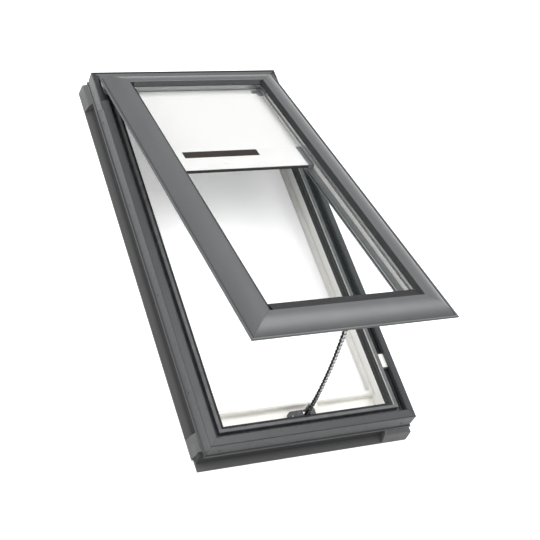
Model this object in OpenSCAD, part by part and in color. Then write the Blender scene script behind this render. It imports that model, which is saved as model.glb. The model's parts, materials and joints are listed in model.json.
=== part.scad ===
// Venting roof skylight, deck mounted, opened by a hand-cranked chain.
// X runs across the roof, +Y up the slope to the hinges, +Z out of the roof.
// Z = 0 is the roof deck under the frame; the frame is centred on X = Y = 0.

/* [Frame] */
// Width of the timber frame over its outer faces
frame_w = 546; // [430:2:760]
// Length of the timber frame over its outer faces
frame_l = 1175; // [900:5:1500]
// Thickness of the frame's timber
frame_t = 37; // [30:0.5:48]
// Height of the frame's timber at its rib
frame_h = 92; // [86:1:110]
// Depth of the rebate outside the rib
rebate_d = 18; // [12:1:24]
// Width of the rib
rib_w = 7.5; // [5:0.5:10]
// Width of the gasket rebate inside the rib
gasket_rebate_w = 9; // [7:0.5:12]

/* [Frame covers] */
// How far the covers stand outside the timber
cover_gap = 17; // [12:1:26]
// Underside of the frame covers over the roof deck
cover_foot = 45; // [35:1:60]
// Height of the covers' outer walls
wall_h = 54.5; // [40:0.5:64]
// How far the ridge lies inside the outer wall
ridge_in = 20; // [15:1:24]
// Rise from the outer wall's top to the ridge
ridge_rise = 5.5; // [3:0.5:7]
// Sheet thickness of the frame covers
sheet_t = 1.2; // [0.8:0.1:2]
// Length of the head cover's returns down the sides
return_l = 112; // [80:2:160]

/* [Deck seal] */
// How far the deck seal reaches outside the covers
seal_reach = 17; // [10:1:30]
// Length of a corner boot along each side
boot_l = 70; // [50:2:110]

/* [Sash] */
// Opening angle of the sash on its chain
open_deg = 17.8; // [0:0.1:20]
// Gap in plan from the frame cover to the sash cover at the sides
sash_side_inset = 14; // [12:0.5:18]
// The same gap at the foot
sash_foot_inset = 18.2; // [16:0.1:22]
// The same gap at the head
sash_head_inset = 28.7; // [27:0.1:32]
// Top of the closed sash over the frame's rib
sash_rise = 45; // [44:0.5:52]
// Depth of the sash timber
sash_depth = 66; // [60:1:72]

/* [Sash covers] */
// Width of the bull-nosed sash covers
nose_w = 68; // [60:1:76]
// Radius of the bull nose
nose_r = 60; // [58:1:70]
// Radius of the rolled edge
bead_r = 3.3; // [2.6:0.1:3.6]
// Joint between two covers at a mitre
mitre_gap = 0.5; // [0.3:0.1:1]

/* [Glass] */
// Thickness of each pane
pane_t = 4; // [3:0.5:6]
// Space between the panes
pane_space = 16; // [12:1:16]
// Depth of the glass under the sash covers' top
glass_sink = 12; // [11:0.5:14]
// How far the glazing gasket shows at the sides
bead_side = 11; // [6:0.5:14]
// How far it shows at the head
bead_head = 12; // [6:0.5:16]
// How far it shows at the foot, where water runs off
bead_foot = 32; // [14:1:40]

/* [Blind] */
// Lower edge of the pleated fabric, from the sash's upper inner face
fabric_l = 307; // [120:1:600]
// Thickness of the pleated fabric
fabric_t = 11.5; // [8:0.5:14]
// Width of the blind's bar
bar_w = 92; // [70:1:110]
// Greatest thickness of the bar
bar_t = 24; // [22:0.5:26]
// Length of the solar panel
panel_l = 221; // [120:1:260]
// Width of the solar panel
panel_w = 30; // [20:1:36]
// Radius of the blind's button
button_r = 8; // [5:0.5:10]
// Travel of the blind's button
button_travel = 1.5; // [1:0.1:2]

/* [Chain operator] */
// Pitch of the chain
chain_pitch = 12; // [10:0.5:14]
// Radius of the gentle curve that the raised chain takes
chain_curve_r = 1400; // [1200:20:3000]
// Pitch radius of the chain sprocket
sprocket_r = 12; // [11:0.5:14]
// Height of the sprocket's shaft over the roof deck
sprocket_z = 50; // [46:1:54]
// Radius of the sprocket's shaft
shaft_r = 3; // [2.5:0.1:3.5]
// Radius of the crank eye's ring, at the wire's centre
eye_r = 6; // [5:0.5:6.5]

/* [Insect screen] */
// Width of the screen's frame
screen_bar = 10; // [8:1:14]
// Thickness of the screen's frame
screen_t = 9; // [7:0.5:12]
// Underside of the screen over the roof deck
screen_z = 25; // [20:1:34]

/* [Hidden] */
$fn = 32;
far = 3000;

// Sides of a rectangle: the lower and upper ends, the left and the right.
FOOT = 0;
HEAD = 1;
LEFT = 2;
RIGHT = 3;

// Plan sizes over the frame covers. "In" distances run inward from there.
plan_w = frame_w + 2 * cover_gap;
plan_l = frame_l + 2 * cover_gap;
timber_in = cover_gap + frame_t;
rib_in = timber_in - gasket_rebate_w - rib_w;
rebate_z = frame_h - rebate_d;
gasket_z = frame_h - 12;
head_top_z = frame_h - 14;
cover_top = cover_foot + wall_h;
head_cover_top = cover_top - 3;
opening_w = plan_w - 2 * timber_in;
groove_in = ridge_in + sheet_t;
gasket_nose = 11.5;
rib_bare = 6;
head_flange = cover_gap + sheet_t;
head_gap = 69;

// Sash, closed: its own rectangle and top plane. "Deep" is below that plane.
sash_w = plan_w - 2 * sash_side_inset;
sash_l = plan_l - sash_foot_inset - sash_head_inset;
sash_y = (sash_foot_inset - sash_head_inset) / 2;
sash_z = frame_h + sash_rise;
glass_t = 2 * pane_t + pane_space;
glass_deep = glass_sink + glass_t;
glass_in = nose_w - 10;
stile_in = nose_w + 3;
tongue_in = stile_in - 26;
lip_in = 19;
lip_deep = 41;
lip_top = glass_sink + 4;
sash_inner_w = sash_w - 2 * stile_in;
half_in = sash_inner_w / 2;
head_face_y = sash_y + sash_l / 2 - stile_in;
foot_face_y = sash_y - sash_l / 2 + stile_in;

// Hinge axis, through the frame head.
hinge_y = plan_l / 2 - 59;
hinge_z = frame_h + 3;
hinge_x = opening_w / 2 - 46;
hinge_r = 6.5;
pin_r = 3;
run_clear = 0.05;
ear_t = 3;
ear_x = 10.5;
leaf_x = 9.8;
pocket_x = 18;
pocket_deep = 33;

// Blind: depth of each layer under the sash's top plane.
fabric_top = glass_deep + 2;
fabric_bottom = fabric_top + fabric_t;
channel_top = fabric_bottom + 0.5;
channel_h = 14;
channel_w = 18;
channel_t = 1.3;
channel_lip = 3.5;
slide_clear = 0.3;
bar_y = head_face_y - fabric_l;
bar_x = sash_inner_w / 2 - channel_w - 1;
bar_wall = 1.6;
bar_foot_t = 9;
bar_slope_at = 48;
panel_x = -47;
panel_at = 3.5;
panel_t = 1.2;
button_x = -45;
button_at = 62;
button_floor = 4.5;
button_proud = 0.8;
drive_gap = 7;
rail_l = 25;

// Chain operator, on the frame's sill.
operator_x = 25;
cheek_in = 9.5;
sill_y = -plan_l / 2 + timber_in;
sprocket_y = sill_y + 18;
operator_l = 38;
operator_brow = 20;
operator_top = frame_h - 14;
operator_z = 19;
case_top = operator_top - 12;
trim_l = 59;
trim_z = 15;
trim_t = 2;
trim_h = 18;
case_x = 19;
worm_r = 6;
wheel_r = 12;
wheel_x = operator_x + 9;
worm_y = sprocket_y + wheel_r + worm_r;
eye_z = 8;
eye_wire = 1.6;
pin_at = 51;
pin_deep = 59;
chain_pin_r = 2.5;
chain_w = 9;
roller_r = 3;
link_h = 6.5;
link_t = 1.5;

// A point of the closed sash, turned with it about the hinge: [y, z].
function swung(y, z) = [
  hinge_y + (y - hinge_y) * cos(open_deg) + (z - hinge_z) * sin(open_deg),
  hinge_z - (y - hinge_y) * sin(open_deg) + (z - hinge_z) * cos(open_deg)
];

// The raised chain curves about chain_centre, [y, z], from the sprocket to the
// pin on the sash. Its lean grows from chain_start to chain_stop.
chain_end = swung(sash_y - sash_l / 2 + pin_at, sash_z - pin_deep);
chain_reach = norm(chain_end - [sprocket_y, sprocket_z]);
chain_aim = atan2(chain_end[1] - sprocket_z, chain_end[0] - sprocket_y);
curve_gap = chain_curve_r - sprocket_r;
chain_start = acos((pow(chain_reach, 2) + pow(curve_gap, 2) - pow(chain_curve_r, 2))
  / (2 * curve_gap * chain_reach)) - chain_aim;
chain_centre = [sprocket_y, sprocket_z] + curve_gap * [cos(chain_start), -sin(chain_start)];
chain_stop = atan2(chain_end[1] - chain_centre[1], chain_centre[0] - chain_end[0]);
chain_step = chain_pitch / chain_curve_r * 180 / PI;
chain_links = floor((chain_stop - chain_start) / chain_step);
sprocket_teeth = round(180 / asin(chain_pitch / sprocket_r / 2));

// Insect screen, clipped to the jambs behind the sill's trim.
screen_clear = 0.6;
screen_y0 = sill_y + trim_l + screen_clear;
screen_y1 = plan_l / 2 - timber_in - screen_clear;
screen_x = opening_w / 2 - 0.7;
mesh_t = 0.8;
mesh_edge = 3;

// ---- placing ----------------------------------------------------------

// Turns a section drawn as [in, up] into a bar of the given length along X.
module run_x(len) {
  translate([-len / 2, 0, 0])
    rotate([90, 0, 90])
      linear_extrude(len) children();
}

// Puts a foot-side piece on any side of a w by l rectangle.
module on_side(side, w, l) {
  if (side == FOOT) translate([0, -l / 2, 0]) children();
  if (side == HEAD) mirror([0, 1, 0]) translate([0, -l / 2, 0]) children();
  if (side == LEFT) translate([-w / 2, 0, 0]) rotate([0, 0, -90]) children();
  if (side == RIGHT) mirror([1, 0, 0]) translate([-w / 2, 0, 0]) rotate([0, 0, -90]) children();
}

function side_len(side, w, l) = side < LEFT ? w : l;

module on_frame(side) {
  on_side(side, plan_w, plan_l) children();
}

module on_sash(side) {
  translate([0, sash_y, sash_z]) on_side(side, sash_w, sash_l) children();
}

// A bar whose two ends are mitred, from inset in_0 to inset in_1.
module mitred(len, in_0, in_1, gap = 0) {
  half_0 = len / 2 - in_0 - gap;
  half_1 = len / 2 - in_1 - gap;
  intersection() {
    run_x(2 * max(half_0, half_1)) children();
    translate([0, 0, -far / 2])
      linear_extrude(far)
        polygon([[-half_0, in_0], [half_0, in_0], [half_1, in_1], [-half_1, in_1]]);
  }
}

module swing() {
  translate([0, hinge_y, hinge_z])
    rotate([-open_deg, 0, 0])
      translate([0, -hinge_y, -hinge_z]) children();
}

// A frame on the closed sash's top plane, at its upper inner face.
module at_head_face() {
  translate([0, head_face_y, sash_z]) children();
}

module box(low, high) {
  translate(low) cube(high - low);
}

module bar_x_axis(r, x0, x1) {
  translate([x0, 0, 0]) rotate([0, 90, 0]) cylinder(r = r, h = x1 - x0);
}

// ---- timber frame -------------------------------------------------------

module jamb_section() {
  polygon([
    [cover_gap, 0], [timber_in, 0], [timber_in, gasket_z],
    [rib_in + rib_w, gasket_z], [rib_in + rib_w, frame_h], [rib_in, frame_h],
    [rib_in, rebate_z], [cover_gap, rebate_z]
  ]);
}

module frame_jamb(side) {
  color("#f1efe9") difference() {
    union() {
      on_frame(side) mitred(plan_l, cover_gap, timber_in) jamb_section();
      intersection() {
        on_frame(side) run_x(frame_l) jamb_section();
        box([-far, 0, -far], [far, far, far]);
      }
    }
    box([-far, plan_l / 2 - head_gap, head_top_z], [far, far, far]);
  }
}

module frame_sill() {
  color("#f1efe9") on_frame(FOOT) mitred(plan_w, cover_gap, timber_in) jamb_section();
}

module frame_head() {
  color("#f1efe9")
    on_frame(HEAD) run_x(opening_w)
      polygon([[cover_gap, 0], [timber_in, 0], [timber_in, head_top_z], [cover_gap, head_top_z]]);
}

// ---- frame covers ---------------------------------------------------------

// Folded sheet: a lip, the outer wall, a sloping top and a leg on the timber.
module cover_section() {
  lip = 3;
  lip_h = 7;
  t = sheet_t;
  top = cover_top;
  ridge = cover_top + ridge_rise;
  polygon([
    [-lip, cover_foot], [cover_gap, cover_foot], [cover_gap, cover_foot + t],
    [-lip + t, cover_foot + t], [-lip + t, cover_foot + lip_h - 1], [t, cover_foot + lip_h + 3],
    [t, top - 2.5], [3, top - t], [ridge_in - 1.5, ridge - t],
    [ridge_in - t + 1, ridge - 3], [ridge_in, rebate_z], [groove_in, rebate_z],
    [groove_in, ridge - 2.5], [ridge_in - 1, ridge], [2, top], [0, top - 2],
    [0, cover_foot + lip_h + 3], [-lip, cover_foot + lip_h]
  ]);
}

module head_cover_section() {
  t = sheet_t;
  lip = 3;
  lip_h = 7;
  polygon([
    [-lip, cover_foot], [cover_gap, cover_foot], [cover_gap, cover_foot + t],
    [-lip + t, cover_foot + t], [-lip + t, cover_foot + lip_h - 1], [t, cover_foot + lip_h + 3],
    [t, head_cover_top - t], [head_flange - t, head_cover_top - t], [head_flange - t, head_top_z],
    [head_flange, head_top_z], [head_flange, head_cover_top - 0.5], [head_flange - 0.5, head_cover_top],
    [1, head_cover_top], [0, head_cover_top - 1], [0, cover_foot + lip_h + 3], [-lip, cover_foot + lip_h]
  ]);
}

module jamb_cover(side) {
  color("#6c6e70") difference() {
    on_frame(side) mitred(plan_l, -6, groove_in + 1, mitre_gap / 2) cover_section();
    box([-far, plan_l / 2 - return_l, 0], [far, far, far]);
  }
}

module sill_cover() {
  color("#6c6e70") on_frame(FOOT) mitred(plan_w, -6, groove_in + 1, mitre_gap / 2) cover_section();
}

// Side plate of the head cover, proud of the jamb cover, with a slanted end.
module return_plate() {
  low = cover_foot + 14;
  high = head_cover_top - 2;
  slant = 24;
  translate([-plan_w / 2 - sheet_t, 0, 0])
    rotate([90, 0, 90])
      linear_extrude(sheet_t)
        polygon([
          [plan_l / 2, low], [plan_l / 2, high],
          [plan_l / 2 - return_l - slant, high], [plan_l / 2 - return_l - 4, low]
        ]);
}

// The cover at the head, folded round both upper corners.
module head_cover() {
  color("#7c7f80") {
    on_frame(HEAD) mitred(plan_w, -6, head_flange + 1) head_cover_section();
    for (side = [0, 1]) mirror([side, 0, 0]) {
      difference() {
        on_frame(LEFT) mitred(plan_l, -6, head_flange + 1) head_cover_section();
        box([-far, -far, -far], [far, plan_l / 2 - return_l, far]);
      }
      return_plate();
    }
  }
}

// ---- gaskets and deck seal --------------------------------------------------

// Bulb gasket on the frame's inner edge, under the rib's bare inner face. Its
// skirt hangs down the timber by the given drop.
module inner_gasket_section(drop) {
  base = gasket_z;
  top = frame_h - rib_bare;
  r_in = rib_in + rib_w;
  nose = r_in + gasket_nose;
  polygon([
    [r_in, base], [r_in, top], [r_in + 3, top], [r_in + 8, top - 1.5], [nose, top - 4.5],
    [nose - 0.5, base - 2 - drop], [timber_in, base - 2 - drop], [timber_in, base]
  ]);
}

module inner_gasket() {
  inset = rib_in + rib_w;
  clip_x = hinge_x - 24;
  drop = 10;
  color("#1b1b1c") {
    for (side = [LEFT, RIGHT]) difference() {
      on_frame(side) mitred(plan_l, inset, inset + 20) inner_gasket_section(drop);
      box([-far, plan_l / 2 - head_gap, -far], [far, far, far]);
    }
    on_frame(FOOT) mitred(plan_w, inset, inset + 20) inner_gasket_section(0);
    on_frame(HEAD) run_x(2 * clip_x)
      polygon([
        [inset - 5, head_top_z], [inset - 5, head_top_z + 3], [inset, head_top_z + 8],
        [inset + 7, head_top_z + 8], [timber_in, head_top_z + 3], [timber_in, head_top_z]
      ]);
  }
}

// Rubber strip over the rib's top edge, which the sash comes down on.
module rib_strip_section() {
  strip_t = 1.6;
  leg = 6;
  polygon([
    [rib_in - strip_t, frame_h - leg], [rib_in, frame_h - leg], [rib_in, frame_h],
    [rib_in + rib_w, frame_h], [rib_in + rib_w - 0.5, frame_h + strip_t],
    [rib_in - strip_t + 1, frame_h + strip_t], [rib_in - strip_t, frame_h + strip_t - 1]
  ]);
}

module rib_strip() {
  outer = rib_in - 2;
  inner = rib_in + rib_w;
  color("#77797b") {
    for (side = [LEFT, RIGHT]) difference() {
      on_frame(side) mitred(plan_l, outer, inner) rib_strip_section();
      box([-far, plan_l / 2 - head_gap, -far], [far, far, far]);
    }
    on_frame(FOOT) mitred(plan_w, outer, inner) rib_strip_section();
  }
}

// Flat gasket with two fins in the groove between cover and rib.
module groove_section() {
  base = rebate_z;
  g0 = groove_in;
  g1 = rib_in;
  polygon([
    [g0, base], [g1, base], [g1, base + 9], [g1 - 1.5, base + 9], [g1 - 1.5, base + 3],
    [g0 + 6, base + 3], [g0 + 4, base + 10], [g0 + 2.5, base + 10], [g0 + 3, base + 3],
    [g0, base + 3]
  ]);
}

module groove_gasket() {
  color("#26262a") {
    for (side = [LEFT, RIGHT]) difference() {
      on_frame(side) mitred(plan_l, groove_in, rib_in) groove_section();
      box([-far, plan_l / 2 - head_gap, -far], [far, far, far]);
    }
    on_frame(FOOT) mitred(plan_w, groove_in, rib_in) groove_section();
  }
}

// Black weather strip on the head cover's flat top, of the given width.
module head_seal_section(width) {
  strip_t = 1.6;
  polygon([
    [1.5, head_cover_top], [1.5 + width, head_cover_top],
    [1.5 + width, head_cover_top + strip_t], [2.5, head_cover_top + strip_t]
  ]);
}

module head_seal() {
  head_w = 5;
  side_w = head_flange - 2.5;
  color("#161617") {
    on_frame(HEAD) mitred(plan_w, 1.5, 1.5 + head_w) head_seal_section(head_w);
    for (side = [LEFT, RIGHT]) difference() {
      on_frame(side) mitred(plan_l, 1.5, 1.5 + side_w) head_seal_section(side_w);
      box([-far, -far, -far], [far, plan_l / 2 - return_l + 1, far]);
    }
  }
}

module deck_seal_section() {
  polygon([
    [cover_gap, 0], [-seal_reach, 0], [-seal_reach, 2.5], [-seal_reach + 9, 4.5],
    [-1.5, 9], [2, 18], [4, cover_foot - 6], [6, cover_foot - 1], [cover_gap, cover_foot - 1]
  ]);
}

// Strips between the corner boots. The foot's strip runs on round the left
// corner, in front of the boot there.
module deck_seal() {
  fold = seal_reach - 5;
  color("#4a4b4b") {
    for (side = [HEAD, LEFT, RIGHT])
      on_frame(side) run_x(side_len(side, plan_w, plan_l) - 2 * boot_l) deck_seal_section();
    translate([-(boot_l + fold) / 2, 0, 0])
      on_frame(FOOT) run_x(plan_w - boot_l + fold) deck_seal_section();
  }
}

module boot_section() {
  polygon([
    [cover_gap, 0], [-seal_reach, 0], [-seal_reach, 7], [-seal_reach + 5, 26],
    [-seal_reach + 7, 31], [-2, cover_foot - 3], [cover_gap, cover_foot - 3]
  ]);
}

// Moulded boots that close the deck seal at the four corners.
module deck_seal_boots() {
  cut = 9;
  color("#a9abaa") for (mx = [0, 1], my = [0, 1]) mirror([mx, 0, 0]) mirror([0, my, 0])
    difference() {
      union() {
        on_frame(FOOT) mitred(plan_w, -seal_reach, cover_gap) boot_section();
        on_frame(LEFT) mitred(plan_l, -seal_reach, cover_gap) boot_section();
      }
      box([-plan_w / 2 + boot_l, -far, -far], [far, far, far]);
      box([-far, -plan_l / 2 + boot_l, -far], [far, far, far]);
      translate([-plan_w / 2 - seal_reach, -plan_l / 2 - seal_reach, -1])
        rotate([0, 0, 45]) cube([2 * cut, 2 * cut, 2 * far], center = true);
      if (mx == 0 && my == 0) box([-far, -far, -far], [far, -plan_l / 2 + cover_gap, far]);
    }
}

// Block in the right-hand groove that centres the sash as it closes.
module guide_block() {
  block_l = 40;
  from_sill = 176;
  low = rebate_z + 11;
  color("#eceae4") on_frame(RIGHT) translate([plan_l / 2 - from_sill, 0, 0])
    box([-block_l / 2, groove_in, low], [block_l / 2, rib_in - 1.8, frame_h + 1.5]);
}

// ---- hinges -------------------------------------------------------------

module hinge_bracket() {
  plate_t = 3;
  plate_x = 20;
  color("#8d9092") difference() {
    union() {
      translate([0, plan_l / 2 - timber_in, 0])
        box([-plate_x, 0, head_top_z], [plate_x, 30, head_top_z + plate_t]);
      for (x = [-ear_x - ear_t, ear_x])
        translate([x, 0, 0]) {
          translate([0, hinge_y, hinge_z]) bar_x_axis(hinge_r, 0, ear_t);
          rotate([90, 0, 90]) linear_extrude(ear_t)
            polygon([
              [hinge_y, hinge_z - hinge_r], [plan_l / 2 - timber_in, head_top_z + plate_t],
              [plan_l / 2 - timber_in, head_top_z], [plan_l / 2 - timber_in + 26, head_top_z],
              [plan_l / 2 - timber_in + 20, head_top_z + 9], [hinge_y + hinge_r, hinge_z]
            ]);
        }
    }
    translate([0, hinge_y, hinge_z]) bar_x_axis(pin_r + run_clear, -far, far);
  }
}

module hinge_pins() {
  head_r = 4.6;
  head_h = 1.4;
  end_x = ear_x + ear_t + 0.1;
  color("#b9bcbe") for (x = [-hinge_x, hinge_x])
    translate([x, hinge_y, hinge_z]) {
      bar_x_axis(pin_r, -end_x, end_x);
      bar_x_axis(head_r, end_x, end_x + head_h);
      bar_x_axis(head_r, -end_x - head_h, -end_x);
    }
}

// Leaf under the sash head, turned by its barrel on the pin.
module hinge_leaf() {
  ceiling = sash_z - pocket_deep;
  leaf_t = 2.5;
  color("#8d9092") difference() {
    union() {
      translate([0, hinge_y, hinge_z]) bar_x_axis(hinge_r - 0.4, -leaf_x, leaf_x);
      box([-leaf_x, hinge_y - 13, ceiling - leaf_t], [leaf_x, hinge_y + 8, ceiling]);
      box([-leaf_x, hinge_y - 3, hinge_z + 4], [leaf_x, hinge_y + 3, ceiling - 1]);
    }
    translate([0, hinge_y, hinge_z]) bar_x_axis(pin_r + run_clear, -far, far);
  }
}

// ---- fasteners on the frame -----------------------------------------------

module screw_head(r, h) {
  difference() {
    cylinder(r = r, h = h);
    translate([0, 0, h - 0.6]) for (a = [0, 90])
      rotate([0, 0, a]) cube([2 * r * 0.7, r * 0.3, 2], center = true);
  }
}

module cover_screws() {
  screw_r = 3;
  screw_h = 1.5;
  side_pitch = (frame_l - 300) / 3;
  screw_z = cover_foot + 24;
  color("#4c4e50") {
    for (x = [-plan_w / 2 + 32, plan_w / 2 - 32])
      on_frame(FOOT) translate([x, 0, screw_z]) rotate([90, 0, 0]) screw_head(screw_r, screw_h);
    for (side = [LEFT, RIGHT], i = [-1.5:1:1.5])
      on_frame(side) translate([i * side_pitch, 0, screw_z])
        rotate([90, 0, 0]) screw_head(screw_r, screw_h);
  }
}

// ---- chain operator ---------------------------------------------------------

// Two cheeks that carry the shaft, on a common foot. Behind the brow their top
// slopes down round the sprocket.
module operator_housing() {
  back = sill_y + operator_l;
  brow = sill_y + operator_brow;
  slot_z = operator_z + 10;
  back_z = operator_z + 20;
  color("#1f2022") difference() {
    translate([-operator_x, 0, 0]) rotate([90, 0, 90]) linear_extrude(2 * operator_x)
      polygon([
        [sill_y, operator_z], [back, operator_z], [back, back_z],
        [brow, operator_top], [sill_y, operator_top]
      ]);
    box([-cheek_in, sill_y - 1, slot_z], [cheek_in, back + 1, operator_top + 1]);
    translate([0, sprocket_y, sprocket_z]) bar_x_axis(shaft_r + run_clear, -far, far);
  }
}

// Open case beside the housing that holds the worm and its wheel.
module gear_case() {
  x0 = operator_x;
  x1 = x0 + case_x;
  y0 = sprocket_y - wheel_r - 3;
  y1 = worm_y + worm_r + 4;
  wall = 3;
  top = case_top;
  color("#eceae4") difference() {
    box([x0, y0, operator_z], [x1, y1, top]);
    box([x0 - 1, y0 + wall, operator_z + wall], [x1 - wall, y1 - wall, top - wall]);
    translate([wheel_x, worm_y, 0]) cylinder(r = shaft_r + run_clear, h = far);
    translate([0, sprocket_y, sprocket_z]) bar_x_axis(shaft_r + run_clear, x1 - wall - 1, far);
  }
}

// Sprocket with a seat for every roller.
module chain_sprocket() {
  half = 2.6;
  tip = 1.2;
  color("#9a9da0") difference() {
    translate([0, sprocket_y, sprocket_z]) rotate([-chain_start, 0, 0]) difference() {
      union() {
        bar_x_axis(sprocket_r + tip, -half, half);
        bar_x_axis(shaft_r + 2, -cheek_in + 0.4, cheek_in - 0.4);
      }
      for (i = [0:sprocket_teeth - 1])
        rotate([i * 360 / sprocket_teeth, 0, 0])
          translate([0, -sprocket_r, 0]) bar_x_axis(roller_r + 0.3, -half - 1, half + 1);
    }
    translate([0, sprocket_y, sprocket_z]) bar_x_axis(shaft_r, -far, far);
  }
}

module sprocket_shaft() {
  color("#b9bcbe") translate([0, sprocket_y, sprocket_z])
    bar_x_axis(shaft_r, -operator_x - 1, operator_x + case_x + 1);
}

// Straight-toothed wheel: four corners to each tooth.
module worm_wheel() {
  wheel_w = 8;
  teeth = 20;
  tip_r = wheel_r - 0.6;
  root_r = wheel_r - 2.2;
  pitch = 360 / teeth;
  corners = [[root_r, -0.28], [tip_r, -0.16], [tip_r, 0.16], [root_r, 0.28]];
  color("#b59a55") translate([wheel_x - wheel_w / 2, sprocket_y, sprocket_z])
    rotate([90, 0, 90]) linear_extrude(wheel_w) difference() {
      polygon([
        for (i = [0:teeth - 1]) for (c = corners)
          [c[0] * cos((i + c[1]) * pitch), c[0] * sin((i + c[1]) * pitch)]
      ]);
      circle(r = shaft_r);
    }
}

// Worm with the ring that a crank pole hooks into.
module crank_worm() {
  top = case_top + 1.5;
  worm_h = 22;
  color("#a4a7aa") translate([wheel_x, worm_y, 0]) {
    translate([0, 0, eye_z + eye_r]) cylinder(r = shaft_r, h = top - eye_z - eye_r);
    translate([0, 0, sprocket_z - worm_h / 2 - 4]) cylinder(r = worm_r - 0.6, h = worm_h);
    translate([0, 0, eye_z]) rotate([0, 90, 0])
      rotate_extrude() translate([eye_r, 0]) circle(r = eye_wire);
  }
}

module sill_trim() {
  y0 = sill_y + 0.2;
  y1 = sill_y + trim_l;
  half = opening_w / 2 - 0.3;
  eye_clear = 1.4;
  color("#efede7") difference() {
    box([-half, y0, trim_z], [half, y1, trim_z + trim_h]);
    box([-half - 1, y0 - 1, trim_z + trim_t], [half + 1, y1 - trim_t, far]);
    translate([wheel_x, worm_y, trim_z - 1]) cylinder(r = eye_r + eye_wire + eye_clear, h = trim_h);
  }
}

// Puts a piece on the chain's centre line, leaning with it.
module on_chain(lean) {
  translate([0, chain_centre[0], chain_centre[1]])
    rotate([-lean, 0, 0])
      translate([0, -chain_curve_r, 0]) children();
}

// A side plate's outline: both edges of the curve, in steps of a link.
module chain_plate() {
  steps = chain_links;
  turn = (chain_stop - chain_start) / steps;
  edges = [chain_curve_r + link_h / 2, chain_curve_r - link_h / 2];
  rotate([90, 0, 90]) linear_extrude(link_t) translate(chain_centre) polygon([
    for (i = [0:steps]) edges[0] * [-cos(chain_start + i * turn), sin(chain_start + i * turn)],
    for (i = [steps:-1:0]) edges[1] * [-cos(chain_start + i * turn), sin(chain_start + i * turn)]
  ]);
}

// Rollers between two side plates, up from the sprocket to the sash's pin,
// which the eye at the end turns on.
module chain() {
  end_r = 4.4;
  end_proud = 0.3;
  half_w = chain_w / 2;
  roller_x = half_w - link_t + 0.5;
  color("#8f9294") difference() {
    union() {
      for (i = [0:chain_links - 1])
        on_chain(chain_start + i * chain_step) bar_x_axis(roller_r, -roller_x, roller_x);
      on_chain(chain_stop) bar_x_axis(end_r, -half_w - end_proud, half_w + end_proud);
      for (x = [-half_w, half_w - link_t]) translate([x, 0, 0]) chain_plate();
    }
    translate([0, chain_end[0], chain_end[1]]) bar_x_axis(chain_pin_r + run_clear, -far, far);
  }
}

// ---- insect screen ------------------------------------------------------------

module screen_frame() {
  bar = screen_bar;
  color("#f2f1ec") difference() {
    box([-screen_x, screen_y0, screen_z], [screen_x, screen_y1, screen_z + screen_t]);
    box([-screen_x + bar, screen_y0 + bar, -1], [screen_x - bar, screen_y1 - bar, far]);
    screen_mesh();
  }
}

module screen_mesh() {
  inner = screen_bar - mesh_edge;
  low = screen_z + screen_t - mesh_edge;
  color("#d9dadb")
    box([-screen_x + inner, screen_y0 + inner, low],
        [screen_x - inner, screen_y1 - inner, low + mesh_t]);
}

// Spring clips on the jambs, which hold the screen up.
module screen_clips() {
  clip_l = 24;
  clip_reach = 7;
  clip_t = 2;
  clip_h = 20;
  span = (screen_y1 - screen_y0) / 2 - 120;
  color("#dedcd6") for (side = [LEFT, RIGHT], at = [-span, span])
    on_frame(side)
      translate([at, timber_in, 0]) {
        box([-clip_l / 2, 0, screen_z - clip_t], [clip_l / 2, clip_reach, screen_z]);
        box([-clip_l / 2, 0, screen_z - clip_h], [clip_l / 2, 0.6, screen_z]);
      }
}

// ---- sash timber ------------------------------------------------------------

module sash_section() {
  polygon([
    [stile_in, -sash_depth], [tongue_in, -sash_depth], [tongue_in, -lip_deep],
    [lip_in, -lip_deep], [lip_in, -lip_top], [glass_in - 2, -lip_top],
    [glass_in - 2, -glass_deep], [stile_in, -glass_deep]
  ]);
}

module sash_side(side) {
  color("#f3f1eb") on_sash(side)
    mitred(side_len(side, sash_w, sash_l), lip_in, stile_in) sash_section();
}

module sash_foot() {
  pocket_half = 42;
  swing() difference() {
    sash_side(FOOT);
    translate([0, foot_face_y, sash_z])
      box([-pocket_half, -far, -sash_depth - 1], [pocket_half + 16, 1, -sash_depth + 16]);
  }
}

module sash_head() {
  swing() difference() {
    sash_side(HEAD);
    for (x = [-hinge_x, hinge_x])
      translate([x, hinge_y, sash_z]) box([-pocket_x, -15, -far], [pocket_x, far, -pocket_deep]);
  }
}

// ---- sash covers ----------------------------------------------------------

// Bull-nosed sheet from the glazing gasket round to a rolled edge.
module nose_section() {
  nose_at = nose_w - 11;
  leg_deep = glass_sink - 2;
  edge_at = 2 * bead_r;
  edge_up = sqrt(nose_r * nose_r - (nose_at - edge_at) * (nose_at - edge_at));
  edge_deep = nose_r - edge_up;
  roll = bead_r / nose_r;
  intersection() {
    difference() {
      translate([nose_at, -nose_r]) circle(r = nose_r, $fn = 96);
      translate([nose_at, -nose_r]) circle(r = nose_r - sheet_t, $fn = 96);
    }
    polygon([[edge_at - 1, 0], [nose_at, 0], [nose_at, -edge_deep - 1], [edge_at - 1, -edge_deep - 1]]);
  }
  polygon([
    [nose_at - 0.5, 0], [nose_w - 1, 0], [nose_w, -1], [nose_w, -leg_deep],
    [nose_w - sheet_t, -leg_deep], [nose_w - sheet_t, -sheet_t], [nose_at - 0.5, -sheet_t]
  ]);
  translate([edge_at - roll * (nose_at - edge_at), -edge_deep + roll * edge_up])
    circle(r = bead_r, $fn = 24);
}

module sash_cover(side) {
  color("#77797a") swing() on_sash(side)
    mitred(side_len(side, sash_w, sash_l), -1, nose_w + 1, mitre_gap / 2) nose_section();
}

// ---- glass --------------------------------------------------------------------

module pane_block(inset, deep_0, deep_1) {
  translate([0, sash_y, sash_z])
    box([-sash_w / 2 + inset, -sash_l / 2 + inset, -deep_1],
        [sash_w / 2 - inset, sash_l / 2 - inset, -deep_0]);
}

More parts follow.
